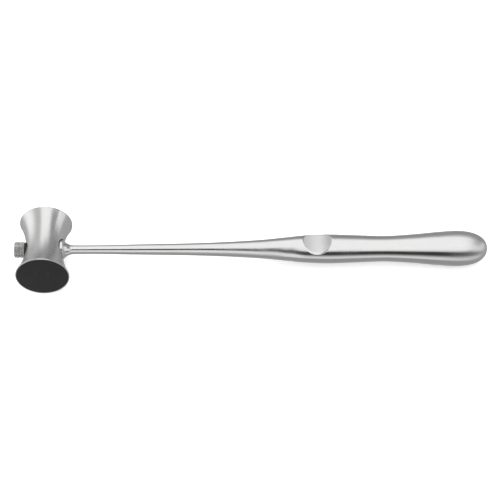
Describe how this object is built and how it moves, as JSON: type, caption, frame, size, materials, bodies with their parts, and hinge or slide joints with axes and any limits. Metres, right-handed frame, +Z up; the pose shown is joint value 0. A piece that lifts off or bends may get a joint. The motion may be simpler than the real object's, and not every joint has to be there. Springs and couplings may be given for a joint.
{
  "type": "reflex hammer",
  "caption": "Reflex hammer: hourglass steel head with domed rubber buffers at its ends, slim steel handle with a thumb rest, and a needle stored behind a knurled screw knob.",
  "frame": {"origin": "under the middle of the whole length and width, level with the lowest point of the head's rims, on which the hammer lies", "axes": "+X along the handle from the head to the end of the grip, Y along the head's own axis with the front buffer at -Y, +Z up, the way the thumb rest faces"},
  "size_m": [0.209, 0.034, 0.0232],
  "materials": {
    "head_steel": "satin, turned grain around the head",
    "handle_steel": "polished along the handle, duller in the thumb rest and at the grip's end",
    "knurled_steel": "satin, diamond knurl, dark in the grooves",
    "needle_steel": "polished",
    "buffer_rubber": "matte"
  },
  "bodies": {
    "hammer": {"head_body": "head_steel", "front_buffer": "buffer_rubber", "rear_buffer": "buffer_rubber", "handle": "handle_steel", "clamp_nut": "knurled_steel"},
    "needle": {"needle": "needle_steel"},
    "needle_knob": {"needle_knob": "knurled_steel"}
  },
  "joints": [
    {"name": "needle_advance", "type": "slide", "parent": "hammer", "child": "needle", "axis": [-1, 0, 0], "range_m": [0, 0.004]},
    {"name": "knob_turn", "type": "hinge", "parent": "needle", "child": "needle_knob", "pos_m": [-0.1023, 0, 0.0116], "axis": [-1, 0, 0], "range_deg": [0, 2880]}
  ],
  "couplings": [
    {"joint": "knob_turn", "follows": "needle_advance", "rad_per_m": 12566}
  ]
}
